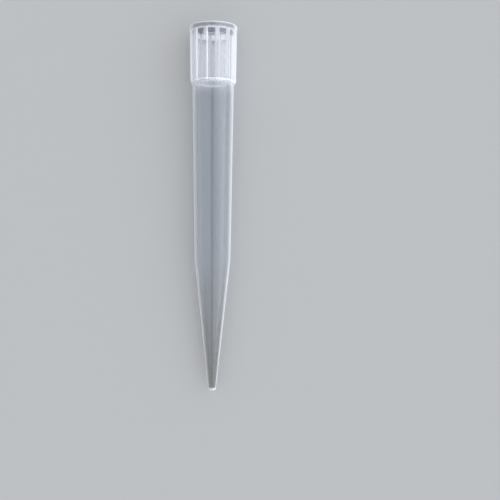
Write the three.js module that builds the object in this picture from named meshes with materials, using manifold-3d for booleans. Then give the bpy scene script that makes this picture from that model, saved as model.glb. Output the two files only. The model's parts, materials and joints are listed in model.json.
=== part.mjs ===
// A pipette tip of the 5 ml size: one thin-walled polypropylene moulding, open at both ends.
// A ribbed collar grips the pipette's nozzle, a long barrel holds the liquid and a cone ends in the orifice.
// The tip lies on its side, as it settles on a bench: mouth towards +Y, point towards -Y, +Z up.
// All sizes are in millimetres. A station is a distance along the tip's own axis from its mouth.

import * as THREE from "three";
import { mergeVertices } from "three/addons/utils/BufferGeometryUtils.js";
import Module from "manifold-3d";

// Lengths along the axis
const COLLAR_LENGTH = 19.1;
const BARREL_LENGTH = 57.8;
const CONE_LENGTH = 43.1;

// Socket: the tapered bore that the nozzle pushes into, and the ledge at its floor
const SOCKET_MOUTH_DIAMETER = 13.24;
const SOCKET_FLOOR_DIAMETER = 12.82;
const SOCKET_DEPTH = 18.1;
const LEDGE_LENGTH = 0.5;
const LEAD_IN = 0.4;

// Collar: a lip round the mouth, and below it ribs with open pockets between them
const COLLAR_WALL = 0.72;
const LIP_HEIGHT = 1.75;
const LIP_OVERHANG = 0.09;
const LIP_ROUND = 0.25;
const RIB_COUNT = 12;
const RIB_WIDTH = 1.2;
const RIB_HEIGHT = 0.48;
const RIB_EDGE_ROUND = 0.12;
const RIB_NOSE_LENGTH = 1.3;
const RIB_NOSE_ROUND = 3.5;
const RIB_ROOT = 0.35; // how far a rib's solid reaches into the wall that carries it

// Barrel and cone
const BARREL_TOP_DIAMETER = 13.62;
const BARREL_END_DIAMETER = 11.84;
const BARREL_WALL = 0.78;
const BEND_ROUND = 30;
const POINT_DIAMETER = 2.36;
const ORIFICE_DIAMETER = 1.2;
const POINT_ROUND = 0.3;

// Fineness of the faceted solid
const FACETS_ROUND = 72;
const ARC_STEPS = 3;

const SHOULDER = COLLAR_LENGTH;
const BEND = SHOULDER + BARREL_LENGTH;
const POINT = BEND + CONE_LENGTH;

const wasm = await Module();
wasm.setup();

// The socket's radius at a station, on its straight taper from the mouth to the floor.
function socketRadius(station) {
  const share = station / SOCKET_DEPTH;
  return THREE.MathUtils.lerp(SOCKET_MOUTH_DIAMETER, SOCKET_FLOOR_DIAMETER, share) / 2;
}

// The collar's outer faces follow the socket: first the pocket floors, then the rib crests.
function pocketRadius(station) {
  return socketRadius(station) + COLLAR_WALL;
}

function crestRadius(station) {
  return pocketRadius(station) + RIB_HEIGHT;
}

function lipRadius() {
  return crestRadius(LIP_HEIGHT) + LIP_OVERHANG;
}

// A corner of an outline: its radius from the axis, its station, and the radius that rounds it.
function corner(radius, station, round = 0) {
  return { at: new THREE.Vector2(radius, -station), round };
}

// Turns corners into a closed polyline. A rounded corner becomes an arc tangent to its two sides,
// made smaller where it would take more than half of a side.
function roundedOutline(corners) {
  const points = [];
  corners.forEach(({ at, round }, index) => {
    const before = corners.at(index - 1).at;
    const after = corners[(index + 1) % corners.length].at;
    if (round === 0) {
      points.push(at);
      return;
    }
    const back = before.clone().sub(at);
    const ahead = after.clone().sub(at);
    const halfAngle = back.angleTo(ahead) / 2;
    const cut = Math.min(round / Math.tan(halfAngle), back.length() / 2, ahead.length() / 2);
    const radius = cut * Math.tan(halfAngle);
    const start = at.clone().addScaledVector(back.normalize(), cut);
    const end = at.clone().addScaledVector(ahead.normalize(), cut);
    const inward = back.clone().add(ahead).normalize();
    const centre = at.clone().addScaledVector(inward, radius / Math.sin(halfAngle));
    const from = start.clone().sub(centre);
    const sweep = Math.atan2(from.cross(end.clone().sub(centre)), from.dot(end.clone().sub(centre)));
    for (let step = 0; step <= ARC_STEPS; step += 1) {
      points.push(start.clone().rotateAround(centre, (sweep * step) / ARC_STEPS));
    }
  });
  return points;
}

// The half section of the moulding without its ribs, once round from the rim to the orifice and back.
function wallOutline() {
  const boreTop = BARREL_TOP_DIAMETER / 2 - BARREL_WALL;
  const boreEnd = BARREL_END_DIAMETER / 2 - BARREL_WALL;
  return roundedOutline([
    corner(socketRadius(0) + LEAD_IN, 0),
    corner(socketRadius(LEAD_IN), LEAD_IN),
    corner(socketRadius(SOCKET_DEPTH), SOCKET_DEPTH),
    corner(boreTop, SOCKET_DEPTH + LEDGE_LENGTH),
    corner(boreEnd, BEND, BEND_ROUND),
    corner(ORIFICE_DIAMETER / 2, POINT),
    corner(POINT_DIAMETER / 2, POINT, POINT_ROUND),
    corner(BARREL_END_DIAMETER / 2, BEND, BEND_ROUND),
    corner(BARREL_TOP_DIAMETER / 2, SHOULDER),
    corner(pocketRadius(SHOULDER), SHOULDER, COLLAR_WALL / 4),
    corner(pocketRadius(LIP_HEIGHT), LIP_HEIGHT),
    corner(lipRadius(), LIP_HEIGHT, LIP_OVERHANG / 2),
    corner(lipRadius(), 0, LIP_ROUND),
  ]);
}

function revolved(outline) {
  const halfFacet = Math.PI / FACETS_ROUND;
  const closed = [...outline, outline[0]];
  return new THREE.LatheGeometry(closed, FACETS_ROUND, halfFacet);
}

// One rib seen from its side: rooted in the pocket floor and the lip, with its crest parallel to the
// socket, and a rounded nose where it runs out at the shoulder.
function ribGeometry() {
  const top = LIP_HEIGHT / 2;
  const noseStart = SHOULDER - RIB_NOSE_LENGTH;
  const outline = roundedOutline([
    corner(pocketRadius(top) - RIB_ROOT, top),
    corner(pocketRadius(SHOULDER) - RIB_ROOT, SHOULDER),
    corner(pocketRadius(SHOULDER), SHOULDER),
    corner(crestRadius(noseStart), noseStart, RIB_NOSE_ROUND),
    corner(crestRadius(top), top),
  ]);
  const rib = new THREE.ExtrudeGeometry(new THREE.Shape(outline), {
    depth: RIB_WIDTH - 2 * RIB_EDGE_ROUND,
    bevelSize: RIB_EDGE_ROUND,
    bevelOffset: -RIB_EDGE_ROUND,
    bevelThickness: RIB_EDGE_ROUND,
    bevelSegments: 1,
  });
  return rib.translate(0, 0, RIB_EDGE_ROUND - RIB_WIDTH / 2);
}

function solidFrom(geometry) {
  const bare = geometry.clone().deleteAttribute("normal").deleteAttribute("uv");
  const merged = mergeVertices(bare, 1e-4);
  return new wasm.Manifold(
    new wasm.Mesh({
      numProp: 3,
      vertProperties: merged.attributes.position.array,
      triVerts: new Uint32Array(merged.index.array),
    }),
  );
}

function geometryFrom(solid) {
  const { vertProperties, triVerts } = solid.getMesh();
  const geometry = new THREE.BufferGeometry();
  geometry.setAttribute("position", new THREE.BufferAttribute(vertProperties, 3));
  geometry.setIndex(new THREE.BufferAttribute(triVerts, 1));
  geometry.computeVertexNormals();
  return geometry;
}

// The moulding about the Y axis, its mouth at height 0. The ribs are set half a step to each side of
// straight down (-Z), because the tip rolls until two neighbouring ribs carry it.
function tipGeometry() {
  const step = (2 * Math.PI) / RIB_COUNT;
  const rib = ribGeometry().rotateY(Math.PI / 2);
  let tip = solidFrom(revolved(wallOutline()));
  for (let index = 0; index < RIB_COUNT; index += 1) {
    tip = tip.add(solidFrom(rib.clone().rotateY((index + 0.5) * step)));
  }
  return geometryFrom(tip);
}

// The station of the centre of gravity, from the tetrahedra that the faces make with the origin.
function balanceStation(geometry) {
  const position = geometry.attributes.position;
  const index = geometry.index;
  const vertices = [new THREE.Vector3(), new THREE.Vector3(), new THREE.Vector3()];
  let volume = 0;
  let moment = 0;
  for (let face = 0; face < index.count; face += 3) {
    vertices.forEach((vertex, k) => vertex.fromBufferAttribute(position, index.getX(face + k)));
    const [a, b, c] = vertices;
    const height = (a.y + b.y + c.y) / 4;
    const part = a.dot(b.clone().cross(c)) / 6;
    volume += part;
    moment += part * height;
  }
  return -moment / volume;
}

// How far the axis dips towards the point when the tip lies on a flat surface. The surface's slope is
// narrowed down until it touches the tip on both sides of the centre of gravity.
function restingDip(geometry) {
  const position = geometry.attributes.position;
  const balance = -balanceStation(geometry);
  let gentlest = -1;
  let steepest = 1;
  for (let round = 0; round < 40; round += 1) {
    const slope = (gentlest + steepest) / 2;
    let lowest = Infinity;
    let touching = 0;
    for (let vertex = 0; vertex < position.count; vertex += 1) {
      const height = position.getZ(vertex) - slope * (position.getY(vertex) - balance);
      if (height < lowest) {
        lowest = height;
        touching = position.getY(vertex);
      }
    }
    if (touching > balance) {
      steepest = slope;
    } else {
      gentlest = slope;
    }
  }
  return -Math.atan(gentlest);
}

// Natural polypropylene: milky, slightly cool and see-through, with a soft gloss.
const polypropylene = new THREE.MeshStandardMaterial({
  color: 0xdfe3ec,
  roughness: 0.3,
  metalness: 0,
  transparent: true,
  opacity: 0.45,
});

const geometry = tipGeometry();
geometry.rotateX(restingDip(geometry));

const tip = new THREE.Mesh(geometry, polypropylene);
tip.name = "tip";

// The origin is on the bench, under the middle of the lying tip.
const reach = new THREE.Box3().setFromObject(tip);
const middle = reach.getCenter(new THREE.Vector3());
tip.position.set(-middle.x, -middle.y, -reach.min.z);

const pipetteTip = new THREE.Group();
pipetteTip.add(tip);

export default pipetteTip;
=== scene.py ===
import json
import math

import bpy
import numpy as np
from mathutils import Matrix


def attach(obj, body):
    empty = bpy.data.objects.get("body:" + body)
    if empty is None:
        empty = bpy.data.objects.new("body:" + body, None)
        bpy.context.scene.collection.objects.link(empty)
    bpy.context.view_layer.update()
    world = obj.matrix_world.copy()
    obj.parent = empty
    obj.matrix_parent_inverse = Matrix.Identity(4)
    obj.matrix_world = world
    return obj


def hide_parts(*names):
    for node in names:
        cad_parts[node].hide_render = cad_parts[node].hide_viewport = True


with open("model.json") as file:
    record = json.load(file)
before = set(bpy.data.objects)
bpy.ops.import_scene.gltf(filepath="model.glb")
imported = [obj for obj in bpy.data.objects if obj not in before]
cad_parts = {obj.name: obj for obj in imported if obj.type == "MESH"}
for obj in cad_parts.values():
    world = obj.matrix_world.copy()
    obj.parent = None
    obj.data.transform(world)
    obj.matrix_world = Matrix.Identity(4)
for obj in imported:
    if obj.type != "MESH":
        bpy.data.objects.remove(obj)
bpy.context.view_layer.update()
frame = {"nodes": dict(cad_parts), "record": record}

# ---------------------------------------------------------------------------------------------
# The tip's own axis
# The moulding is round about one axis, which dips a little from the mouth to the point as the tip
# lies. The record's rim mount gives its direction, and the solid's rim gives the mouth's middle.
# ---------------------------------------------------------------------------------------------
MM = 0.001
facet_turn = math.radians(5)
rim_tolerance = 0.001 * MM

rim_mount = next(mount for mount in frame["record"]["mounts"] if mount["name"] == "mouth_rim")
outward = np.array(rim_mount["axis"]) / np.linalg.norm(rim_mount["axis"])
sideways = np.array([1.0, 0.0, 0.0])
upward = np.cross(sideways, outward)

solid = frame["nodes"]["tip"].data
solid_points = np.zeros(3 * len(solid.vertices))
solid.vertices.foreach_get("co", solid_points)
solid_points = solid_points.reshape(-1, 3)
heights = solid_points @ outward
rim_points = solid_points[heights > heights.max() - rim_tolerance]
mouth = (rim_points.min(axis=0) + rim_points.max(axis=0)) / 2


def place(radius, station, turn):
    """Points of the moulding: from the mouth's middle back along the axis by the station, then out
    by the radius, in the direction that lies the given turn away from straight up. The radius is
    brought down to the middle of a facet of the solid, so that the round skin stays within it."""
    spoke = np.sin(turn)[..., None] * sideways + np.cos(turn)[..., None] * upward
    reach = radius * math.cos(facet_turn / 2)
    return mouth - station[..., None] * outward + reach[..., None] * spoke


# ---------------------------------------------------------------------------------------------
# The moulding
# One thin wall of natural polypropylene, injection moulded round a polished steel core: a collar
# with a lip and twelve ribs, a barrel on a slight draft, and a cone down to the orifice.
# ---------------------------------------------------------------------------------------------
collar_length = 19.1 * MM
barrel_length = 57.8 * MM
cone_length = 43.1 * MM
socket_mouth_radius = 6.62 * MM
socket_floor_radius = 6.41 * MM
socket_depth = 18.1 * MM
ledge_length = 0.5 * MM
lead_in = 0.4 * MM
collar_wall = 0.72 * MM
lip_height = 1.75 * MM
lip_overhang = 0.09 * MM
rib_count = 12
rib_width = 1.2 * MM
rib_height = 0.48 * MM
rib_nose = 1.3 * MM
crest_edge = 0.06 * MM
foot_edge = 0.04 * MM
barrel_top_radius = 6.81 * MM
barrel_end_radius = 5.92 * MM
barrel_wall = 0.78 * MM
point_radius = 1.18 * MM
orifice_radius = 0.6 * MM

# Points of the section's curves and sides, and rows over half a rib and half a pocket
arc_steps = 6
side_steps = 12
crest_rows = 4
flank_rows = 6
pocket_rows = 7

shoulder = collar_length
bend = shoulder + barrel_length
point = bend + cone_length


def socket_radius(station):
    """The socket narrows evenly from its mouth to its floor."""
    return socket_mouth_radius + (socket_floor_radius - socket_mouth_radius) * station / socket_depth


def section(rib):
    """Corners of the wall's section on a rib (1) or in a pocket (0), round from the rim's inner edge
    to the orifice and back outside: radius, station, and how much of each side its rounding takes."""

    def skin(station, proud):
        return socket_radius(station) + collar_wall + proud * rib_height

    nose = shoulder - rib_nose
    lip = skin(lip_height, 1) + lip_overhang
    return np.array([
        (socket_radius(0) + lead_in, 0, 0.10 * MM),
        (socket_radius(lead_in), lead_in, 0.15 * MM),
        (socket_radius(socket_depth), socket_depth, 0.20 * MM),
        (barrel_top_radius - barrel_wall, socket_depth + ledge_length, 0.25 * MM),
        (barrel_end_radius - barrel_wall, bend, 1.40 * MM),
        (orifice_radius, point, 0.08 * MM),
        (point_radius, point, 0.25 * MM),
        (barrel_end_radius, bend, 1.40 * MM),
        (barrel_top_radius, shoulder, 0.10 * MM),
        (skin(shoulder, 0), shoulder, 0.14 * MM),
        (skin(nose, rib), nose, 0.60 * MM),
        (skin(lip_height, rib), lip_height, 0.08 * MM),
        (lip, lip_height, 0.08 * MM),
        (lip, 0, 0.22 * MM),
    ])


def section_points(corners):
    """The closed section as points. Each corner is a curve from one side to the next, drawn towards
    the corner, and each side between two curves has points that crowd towards its two ends."""
    at, take = corners[:, :2], corners[:, 2:]
    back = np.roll(at, 1, axis=0) - at
    ahead = np.roll(at, -1, axis=0) - at
    start = at + take * back / np.linalg.norm(back, axis=1, keepdims=True)
    end = at + take * ahead / np.linalg.norm(ahead, axis=1, keepdims=True)
    t = np.linspace(0, 1, arc_steps + 1)[None, :, None]
    curve = (1 - t) ** 2 * start[:, None] + 2 * t * (1 - t) * at[:, None] + t**2 * end[:, None]
    s = (1 - np.cos(np.linspace(0, np.pi, side_steps + 1)[1:-1])) / 2
    side = end[:, None] + s[None, :, None] * (np.roll(start, -1, axis=0) - end)[:, None]
    return np.concatenate([curve, side], axis=1).reshape(-1, 2)


def turns_round_the_axis():
    """The turns of the lengthwise rows, and how far each row lies on a rib, from 0 to 1. They are
    close together on a rib's flanks, where the skin climbs from the pocket, and wider elsewhere. The
    ribs stand half a pitch off straight up and straight down, so the tip lies on two of them."""
    pitch = 2 * np.pi / rib_count
    crest = (rib_width / 2 - crest_edge) / (socket_mouth_radius + collar_wall)
    foot = (rib_width / 2 + foot_edge) / (socket_mouth_radius + collar_wall)
    half = np.concatenate([
        np.linspace(0, crest, crest_rows)[:-1],
        np.linspace(crest, foot, flank_rows),
        np.linspace(foot, pitch / 2, pocket_rows)[1:],
    ])
    climb = np.clip((foot - half) / (foot - crest), 0, 1)
    climb = climb**2 * (3 - 2 * climb)
    offsets = np.concatenate([-half[:0:-1], half[:-1]])
    on_rib = np.concatenate([climb[:0:-1], climb[:-1]])
    centres = (np.arange(rib_count) + 0.5) * pitch
    return (centres[:, None] + offsets).ravel(), np.tile(on_rib, rib_count)


def closed_mesh(name, grid):
    """A ring of rows, each itself a ring of points: every four neighbours make a face, and the last
    row and the last point of each row join the first, so the skin has no edge and no pole."""
    rows, columns = grid.shape[:2]
    row, column = np.meshgrid(np.arange(rows), np.arange(columns), indexing="ij")
    next_row, next_column = (row + 1) % rows, (column + 1) % columns
    corners = [(row, column), (row, next_column), (next_row, next_column), (next_row, column)]
    faces = np.stack([r * columns + c for r, c in corners], axis=-1).reshape(-1, 4)
    mesh = bpy.data.meshes.new(name)
    mesh.from_pydata(grid.reshape(-1, 3), [], faces.tolist())
    mesh.validate()
    mesh.shade_smooth()
    return mesh


def ramp(value, start, end):
    """0 up to the start, 1 from the end on, and even between them; the end may be the lower one."""
    return np.clip((value - start) / (end - start), 0, 1)


def band(value, middle, half_width, fade):
    """1 within the half width of the middle, then down to 0 over the fade."""
    return ramp(abs(value - middle), half_width + fade, half_width)


# How cloudy the plastic is for each millimetre of its wall; the neck's is added to the barrel's
lip_cloud = 0.09
collar_cloud = 0.28
neck_cloud = 0.23
barrel_cloud = 0.13
point_cloud = 0.04

# How the inside skin's share compares with the outside's, in the bore and in the socket, and how
# much of the cloud is missing in the windows, the clearer tops of the pockets, where their painted
# shade shows
bore_share = 0.3
socket_share = 0.7
window_loss = 0.9

# Where each stretch begins and where it is full, in stations back from the mouth
neck_fade = 2.6 * MM
collar_change = (socket_depth - 0.05 * MM, socket_depth - 0.25 * MM)
lip_change = (lip_height, lip_height - 0.3 * MM)
neck_change = (socket_depth + neck_fade, socket_depth + neck_fade / 3)
window_top = (lip_height + 0.05 * MM, lip_height + 0.20 * MM)
window_foot = (lip_height + 2.1 * MM, lip_height + 1.7 * MM)
polish_change = (shoulder + 0.5 * MM, shoulder - 0.5 * MM)
end_change = (point - 0.35 * MM, point - 0.10 * MM)

# Bands where light gathers in the plastic: the middle's station, half the width, and the fade
rim_edge_band = (0.12 * MM, 0.06 * MM, 0.12 * MM)
lead_in_band = (lead_in / 2, 0.09 * MM, 0.15 * MM)
pocket_top_band = (lip_height + 0.05 * MM, 0.15 * MM, 0.3 * MM)
ledge_skin_band = (socket_depth + 0.2 * MM, 0.1 * MM, 0.2 * MM)

# The whole ledge inside, and the two ends of the tip, whose faces lie square to the axis
ledge_from = socket_depth - 0.1 * MM
ledge_to = socket_depth + ledge_length + 0.18 * MM
mouth_end = lip_height + 0.3 * MM
point_end = point - 0.2 * MM

# What these bands, edges and steps add to the clouding. It is partly the longer way through the
# plastic at the steps and ends, and partly painted highlight: milky haze put where light gathers
rim_edge_cloud = 2.0
lead_in_cloud = 6.0
pocket_top_cloud = 5.0
ledge_cloud = 12.0
ledge_skin_cloud = 1.8
square_face_cloud = 2.0
end_cloud = 2.0
flank_cloud = 4.5

# How strongly the skin's outline glows, on the barrel and on the collar and the cone's end
barrel_edge = 12.0
ends_edge = 20.0

# What the clear plastic passes of each colour, darkest where little light gathers: on the lip and
# on the pockets' tops it is painted shade
lip_painted_shade = (0.39, 0.40, 0.425)
pocket_top_painted_shade = (0.19, 0.185, 0.235)
collar_tint = (0.815, 0.815, 0.845)
barrel_tint = (0.632, 0.656, 0.69)
point_tint = (0.515, 0.505, 0.49)


def wall_at(points):
    """How thick the wall is at each point of a section: the outside's radius less the inside's."""
    turn_back = points[:, 1].argmax()
    inside, outside = points[: turn_back + 1], points[turn_back:][::-1]
    inner = np.interp(points[:, 1], inside[:, 1], inside[:, 0])
    return np.interp(points[:, 1], outside[:, 1], outside[:, 0]) - inner


def stretches(station, on_rib):
    """How far each point of the skin belongs to the collar, the lip, the neck below the socket, the
    cone and the tops of the pockets, each from 0 to 1."""
    collar = ramp(station, *collar_change)
    lip = ramp(station, *lip_change)
    neck = ramp(station, *neck_change) * (1 - collar)
    cone = ramp(station, bend, point)
    window = ramp(station, *window_top) * ramp(station, *window_foot) * (1 - on_rib)
    return collar, lip, neck, cone, window


def plastic_values(station, wall, on_rib, inside, across_share, along_share):
    """Four values for each point of the skin. The clouding seen through the wall is the wall's
    thickness, averaged with the collar's, times how cloudy that stretch of the tip is, plus what its
    edges and steps add: partly the longer way through the plastic there, and partly painted
    highlight, milky haze put where light gathers. The clouding seen square on is that of the ribs'
    flanks. Edge is the glow of the skin's outline. Polish is where the mould is polished brightest:
    the collar's stretch."""
    outside = ~inside
    collar, lip, neck, cone, window = stretches(station, on_rib)

    cloud = barrel_cloud + (point_cloud - barrel_cloud) * cone
    cloud = cloud + (collar_cloud - barrel_cloud) * collar + (lip_cloud - collar_cloud) * lip
    cloud = cloud + neck_cloud * neck * outside
    cloud = cloud * np.where(inside, bore_share + (socket_share - bore_share) * collar, 1)
    through = (collar_wall + wall) / 2 / MM * cloud
    through = through * (1 - across_share * outside) * (1 - window_loss * window)

    ends = (station < mouth_end) | (station > point_end)
    ledge = (station > ledge_from) & (station < ledge_to)
    # Extra milky haze at the ledge, the steps, the ends and the bands where light gathers: partly the
    # longer way through the plastic, partly painted highlight
    through += ledge_cloud * ledge * inside
    through += ledge_skin_cloud * band(station, *ledge_skin_band) * outside
    through += square_face_cloud * along_share**2 * ends
    through += rim_edge_cloud * band(station, *rim_edge_band) * outside
    through += lead_in_cloud * band(station, *lead_in_band) * inside
    through += pocket_top_cloud * band(station, *pocket_top_band) * (1 - on_rib) * inside
    through += end_cloud * ramp(station, *end_change)

    square_on = flank_cloud * across_share**2 * outside
    polish = ramp(station, *polish_change)
    edge = (barrel_edge + (ends_edge - barrel_edge) * (cone + collar)) * outside
    return {"through": through, "square_on": square_on, "edge": edge, "polish": polish}


def plastic_tint_and_shade(station, on_rib):
    """The clear plastic's colour at each point of the skin: the barrel's, changing evenly to the
    point's along the cone, with the collar's and the neck's over it, and over those the painted shade
    of the lip and of the pockets' tops."""
    collar, lip, neck, cone, window = stretches(station, on_rib)
    tint_and_shade = np.array(barrel_tint)
    for share, other in (
        (cone, point_tint),
        (collar + neck, collar_tint),
        # The lip's and the pockets' tops' colours are painted shade
        (lip, lip_painted_shade),
        (window, pocket_top_painted_shade),
    ):
        tint_and_shade = tint_and_shade + share[..., None] * (np.array(other) - tint_and_shade)
    return tint_and_shade


def moulding_mesh():
    """The wall as a ring of rows: the section in a pocket and the section on a rib, mixed by how far
    each row lies on a rib, and carried round the axis. Its points keep the plastic's values and its
    clear colour with the painted shade in it. The inside skin is the section's first five corners and
    half of the sixth's stretch."""
    turns, on_rib = turns_round_the_axis()
    corners = section(rib=0)
    pocket = section_points(corners)
    crest = section_points(section(rib=1))
    mixed = pocket[:, None] + on_rib[None, :, None] * (crest - pocket)[:, None]
    mesh = closed_mesh("tip_moulding", place(mixed[..., 0], mixed[..., 1], turns[None, :]))

    normals = np.zeros(3 * len(mesh.vertices))
    mesh.vertex_normals.foreach_get("vector", normals)
    normals = normals.reshape(*mixed.shape[:2], 3)
    across = np.cos(turns)[:, None] * sideways - np.sin(turns)[:, None] * upward
    inside = np.arange(len(pocket)) < len(pocket) * 5.5 / len(corners)
    plastic = plastic_values(
        station=mixed[..., 1],
        wall=(1 - on_rib) * wall_at(pocket)[:, None] + on_rib * wall_at(crest)[:, None],
        on_rib=on_rib,
        inside=inside[:, None],
        across_share=(normals * across).sum(axis=-1) ** 2,
        along_share=(normals @ outward) ** 2,
    )
    for name, values in plastic.items():
        values = np.broadcast_to(values, mixed.shape[:2]).ravel()
        mesh.attributes.new(name, "FLOAT", "POINT").data.foreach_set("value", values)
    # The clear colour, with the painted shade of the lip and the pockets' tops
    tint_and_shade = plastic_tint_and_shade(mixed[..., 1], on_rib)
    mesh.attributes.new("tint_and_shade", "FLOAT_VECTOR", "POINT").data.foreach_set("vector", tint_and_shade.ravel())
    return mesh


class Signal:
    """A socket in a node tree. Sums, differences and products of signals add Math nodes."""

    def __init__(self, tree, socket):
        self.tree, self.socket = tree, socket

    def math(self, operation, *values):
        return node(self.tree, "ShaderNodeMath", {"operation": operation}, *values)

    def __add__(self, other):
        return self.math("ADD", self, other)

    def __radd__(self, other):
        return self.math("ADD", other, self)

    def __sub__(self, other):
        return self.math("SUBTRACT", self, other)

    def __rsub__(self, other):
        return self.math("SUBTRACT", other, self)

    def __mul__(self, other):
        return self.math("MULTIPLY", self, other)

    def __rmul__(self, other):
        return self.math("MULTIPLY", other, self)

    def __truediv__(self, other):
        return self.math("DIVIDE", self, other)

    def __pow__(self, other):
        return self.math("POWER", self, other)


def node(tree, kind, settings, *values, output=0, **named):
    """Adds a node: first its settings, then values or links for its sockets by place or by name."""
    made = tree.nodes.new(kind)
    for name, value in settings.items():
        setattr(made, name, value)
    for key, value in [*enumerate(values), *named.items()]:
        socket = made.inputs[key.replace("_", " ") if isinstance(key, str) else key]
        if isinstance(value, Signal):
            tree.links.new(value.socket, socket)
        elif value is not None:
            socket.default_value = value
    return Signal(tree, made.outputs[output]) if made.outputs else None


# The milky part's colour, what is left of the lamps' light behind the skin, and the gloss
milk_colour = (0.905, 0.915, 0.965, 1)
lamp_tint = (0.97, 0.97, 0.97, 1)
plastic_ior = 1.49
moulded_roughness = 0.08
polished_roughness = 0.04
milk_roughness = 0.3

# How steeply the outline's glow falls off inwards, and how much less so for each unit of its strength
edge_fineness = 10.0
edge_spread = 0.167

# The streaks along the flow: how many there are in a metre, how many times as long as wide they
# are, their smaller detail, and what they add to the haze, the roughness and the relief
streak_fineness = 900.0
streak_length = 200
streak_detail = 1.5
streak_grain = 0.6
streak_haze = 1.6
polished_streak_haze = 2.0
streak_roughness = 0.05
streak_relief = 0.06
streak_depth = 0.1 * MM

# How much of the lamps' light the densest haze keeps out of the plastic
lamp_loss = 0.35


def polypropylene():
    """Natural polypropylene: clear by nature, with a haze that grows with the clouding along the line
    of sight, as 1 - exp(-clouding). Through a round wall that line is longer the more it slants: for
    a wall that is the share s of its radius, and the cosine c between the line and the skin's normal,
    it is (c - sqrt(c^2 - 1 + (1 - s)^2)) / s walls long. The outline's glow is a power of 1 - c, less
    steep where the glow is strong. Streaks along the flow vary haze, gloss and relief."""
    material = bpy.data.materials.new("natural_polypropylene")
    material.use_nodes = True
    tree = material.node_tree
    tree.nodes.clear()
    through, square_on, edge, polish = (
        node(tree, "ShaderNodeAttribute", {"attribute_name": name}, output="Fac")
        for name in ("through", "square_on", "edge", "polish")
    )
    # The clear part's colour, with the painted shade of the lip and the pockets' tops in it
    tint_and_shade = node(tree, "ShaderNodeAttribute", {"attribute_name": "tint_and_shade"}, output="Color")

    dip = math.atan2(outward[2], outward[1])
    where = node(tree, "ShaderNodeTexCoord", {}, output="Object")
    along = node(
        tree, "ShaderNodeMapping", {"vector_type": "TEXTURE"},
        Vector=where, Rotation=(dip, 0, 0), Scale=(1, streak_length, 1),
    )
    streaks = node(
        tree, "ShaderNodeTexNoise", {},
        Vector=along, Scale=streak_fineness, Detail=streak_detail, Roughness=streak_grain,
    )
    ripple = streaks - 0.5

    # At a blend of a half, facing is 1 less the cosine
    cosine = 1 - node(tree, "ShaderNodeLayerWeight", {}, Blend=0.5, output="Facing")
    wall_share = barrel_wall / barrel_top_radius
    bore_seen = cosine * cosine - (1 - (1 - wall_share) ** 2)
    bore_seen = node(tree, "ShaderNodeMath", {"operation": "MAXIMUM"}, bore_seen, 0.0)
    walls_crossed = (cosine - bore_seen**0.5) / wall_share
    edge_glow = edge * (1 - cosine) ** (edge_fineness - edge * edge_spread)
    streaking = 1 + (streak_haze + (polished_streak_haze - streak_haze) * polish) * ripple
    clouding = through * walls_crossed * streaking + square_on * cosine + edge_glow
    haze = 1 - node(tree, "ShaderNodeMath", {"operation": "EXPONENT"}, clouding * -1)

    relief = node(
        tree, "ShaderNodeBump", {},
        Strength=streak_relief, Distance=streak_depth, Height=streaks, output="Normal",
    )
    polished = (moulded_roughness - polished_roughness) * polish
    clear = node(
        tree, "ShaderNodeBsdfPrincipled", {},
        Base_Color=tint_and_shade, Roughness=moulded_roughness - polished + streak_roughness * ripple,
        IOR=plastic_ior, Transmission_Weight=1.0, Normal=relief,
    )
    milky = node(
        tree, "ShaderNodeBsdfPrincipled", {},
        Base_Color=milk_colour, Roughness=milk_roughness, IOR=plastic_ior, Normal=relief,
    )
    skin = node(tree, "ShaderNodeMixShader", {}, haze, clear, milky)

    lamp_ray = node(tree, "ShaderNodeLightPath", {}, output="Is Shadow Ray")
    passed = node(tree, "ShaderNodeBsdfTransparent", {}, lamp_tint)
    lit = node(tree, "ShaderNodeMixShader", {}, lamp_ray * (1 - lamp_loss * haze), skin, passed)
    node(tree, "ShaderNodeOutputMaterial", {}, lit)
    return material


tip = bpy.data.objects.new("tip_moulding", moulding_mesh())
bpy.context.scene.collection.objects.link(tip)
tip.data.materials.append(polypropylene())
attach(tip, "root")
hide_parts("tip")

# ---------------------------------------------------------------------------------------------
# The bench
# A flat board, painted a plain pale grey and matt, that the tip lies on. It reaches far beyond the
# tip on every side.
# ---------------------------------------------------------------------------------------------
bench_half_width = 1.5
bench_colour = (0.505, 0.505, 0.51, 1)


def bench():
    """A flat square at the height of the tip's underside."""
    half = bench_half_width
    corners = [(-half, -half, 0), (half, -half, 0), (half, half, 0), (-half, half, 0)]
    mesh = bpy.data.meshes.new("bench")
    mesh.from_pydata(corners, [], [(0, 1, 2, 3)])
    made = bpy.data.objects.new("bench", mesh)
    bpy.context.scene.collection.objects.link(made)
    material = bpy.data.materials.new("bench_paint")
    material.use_nodes = True
    material.node_tree.nodes.clear()
    paint = node(material.node_tree, "ShaderNodeBsdfDiffuse", {}, bench_colour)
    node(material.node_tree, "ShaderNodeOutputMaterial", {}, paint)
    mesh.materials.append(material)
    return made


bench()

# ---------------------------------------------------------------------------------------------
# The light
# A soft white tent all round, a little warm overhead and cool at the sides, and brighter to the
# right. A narrow unlit gap runs overhead between its two halves, and a soft lamp is low on the left.
# ---------------------------------------------------------------------------------------------
# Colours and strengths
roof_colour = (1.0, 0.985, 0.965, 1)
side_colour = (0.88, 0.96, 1.03, 1)
wall_colour = (0.80, 0.82, 0.84, 1)
top_strength = 1.01
side_strength = 0.36
right_lean = 0.63
gap_depth = 0.9
left_lamp_strength = 0.9

# Where the parts lie in the sphere of directions: the gap by the square of the sideways part and by
# height, the lamp by how far left, and the soft top of the wall by height
gap_width = 0.03
gap_rise = (0.6, 0.9)
left_lamp_edge = (0.92, 0.98)
wall_top = (0.05, 0.25)


def smooth(tree, value, start, end):
    """0 up to the start, 1 from the end on, and a soft s-curve between them."""
    return node(
        tree, "ShaderNodeMapRange", {"interpolation_type": "SMOOTHSTEP"}, value, start, end, 0.0, 1.0
    )


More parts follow.
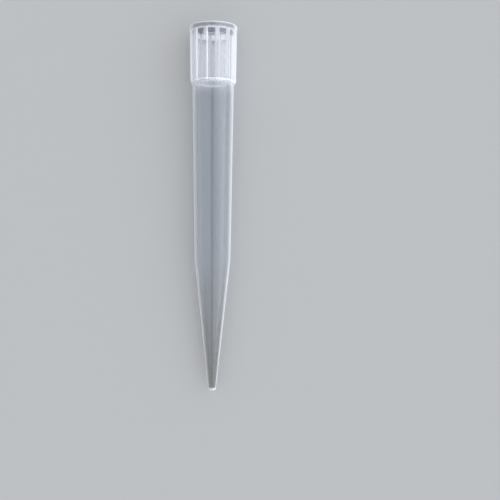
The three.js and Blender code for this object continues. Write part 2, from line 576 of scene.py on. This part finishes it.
def mixed_colour(tree, share, first, second):
    """A colour between the first, at a share of 0, and the second, at 1. The node's five sockets
    after the share belong to its other kinds of mixing."""
    skipped = [None] * 5
    return node(
        tree, "ShaderNodeMix", {"data_type": "RGBA"}, share, *skipped, first, second, output=2
    )


def tent():
    """The world: in each direction, the tent's strength is the roof's, plus the side's share by how
    far it lies aside, times one plus the lean to the right, less the gap, plus the lamp. What is
    looked at directly, and what gloss and clear plastic show close to the horizon, is the plain pale
    wall behind the bench."""
    world = bpy.data.worlds.new("tent")
    world.use_nodes = True
    tree = world.node_tree
    tree.nodes.clear()
    direction = node(tree, "ShaderNodeTexCoord", {}, output="Generated")
    right = node(tree, "ShaderNodeSeparateXYZ", {}, direction, output="X")
    above = node(tree, "ShaderNodeSeparateXYZ", {}, direction, output="Z")
    aside = node(tree, "ShaderNodeMath", {"operation": "ABSOLUTE"}, right)
    gap = (1 - smooth(tree, right * right, 0.0, gap_width)) * smooth(tree, above, *gap_rise)
    strength = (top_strength + side_strength * aside) * (1 + right_lean * right)
    strength = strength * (1 - gap_depth * gap)
    strength = strength + left_lamp_strength * smooth(tree, right * -1, *left_lamp_edge)
    colour = mixed_colour(tree, aside, roof_colour, side_colour)
    light = node(tree, "ShaderNodeBackground", {}, colour, strength)
    seen = node(tree, "ShaderNodeBackground", {}, wall_colour, 1.0)
    camera_ray, glossy_ray, transmission_ray = (
        node(tree, "ShaderNodeLightPath", {}, output=name)
        for name in ("Is Camera Ray", "Is Glossy Ray", "Is Transmission Ray")
    )
    bent_ray = node(tree, "ShaderNodeMath", {"operation": "MAXIMUM"}, glossy_ray, transmission_ray)
    low = 1 - smooth(tree, above, *wall_top)
    shown = node(tree, "ShaderNodeMixShader", {}, camera_ray + bent_ray * low, light, seen)
    node(tree, "ShaderNodeOutputWorld", {}, shown)
    return world


bpy.context.scene.world = tent()
bpy.context.scene.view_settings.view_transform = "Standard"

# ---------------------------------------------------------------------------------------------
# The camera
# It looks down on the lying tip from over its middle, a little to one side of it. The tip's axis
# runs up the picture, turned from upright by less than a degree.
# ---------------------------------------------------------------------------------------------
view_station = 73.7 * MM
view_aside = 12.4 * MM
view_roll = math.radians(0.23)
view_turn = math.radians(2.4)
view_distance = 278 * MM

# The lens, in the camera's own millimetres
sensor_width = 36
focal_length = 60.5


def camera():
    """The camera's axes: towards it, from straight up turned aside a little; and across and along the
    picture, from the tip's axis turned a little in the picture's own plane."""
    towards = math.sin(view_turn) * sideways + math.cos(view_turn) * upward
    across = np.cross(outward, towards)
    spot = mouth - view_station * outward + view_aside * across + view_distance * towards
    right = math.cos(view_roll) * across + math.sin(view_roll) * outward
    up = math.cos(view_roll) * outward - math.sin(view_roll) * across
    lens = bpy.data.cameras.new("camera")
    lens.sensor_width = sensor_width
    lens.lens = focal_length
    made = bpy.data.objects.new("camera", lens)
    bpy.context.scene.collection.objects.link(made)
    axes = np.stack([right, up, towards, spot], axis=1)
    made.matrix_world = Matrix([*axes.tolist(), (0, 0, 0, 1)])
    return made


bpy.context.scene.camera = camera()
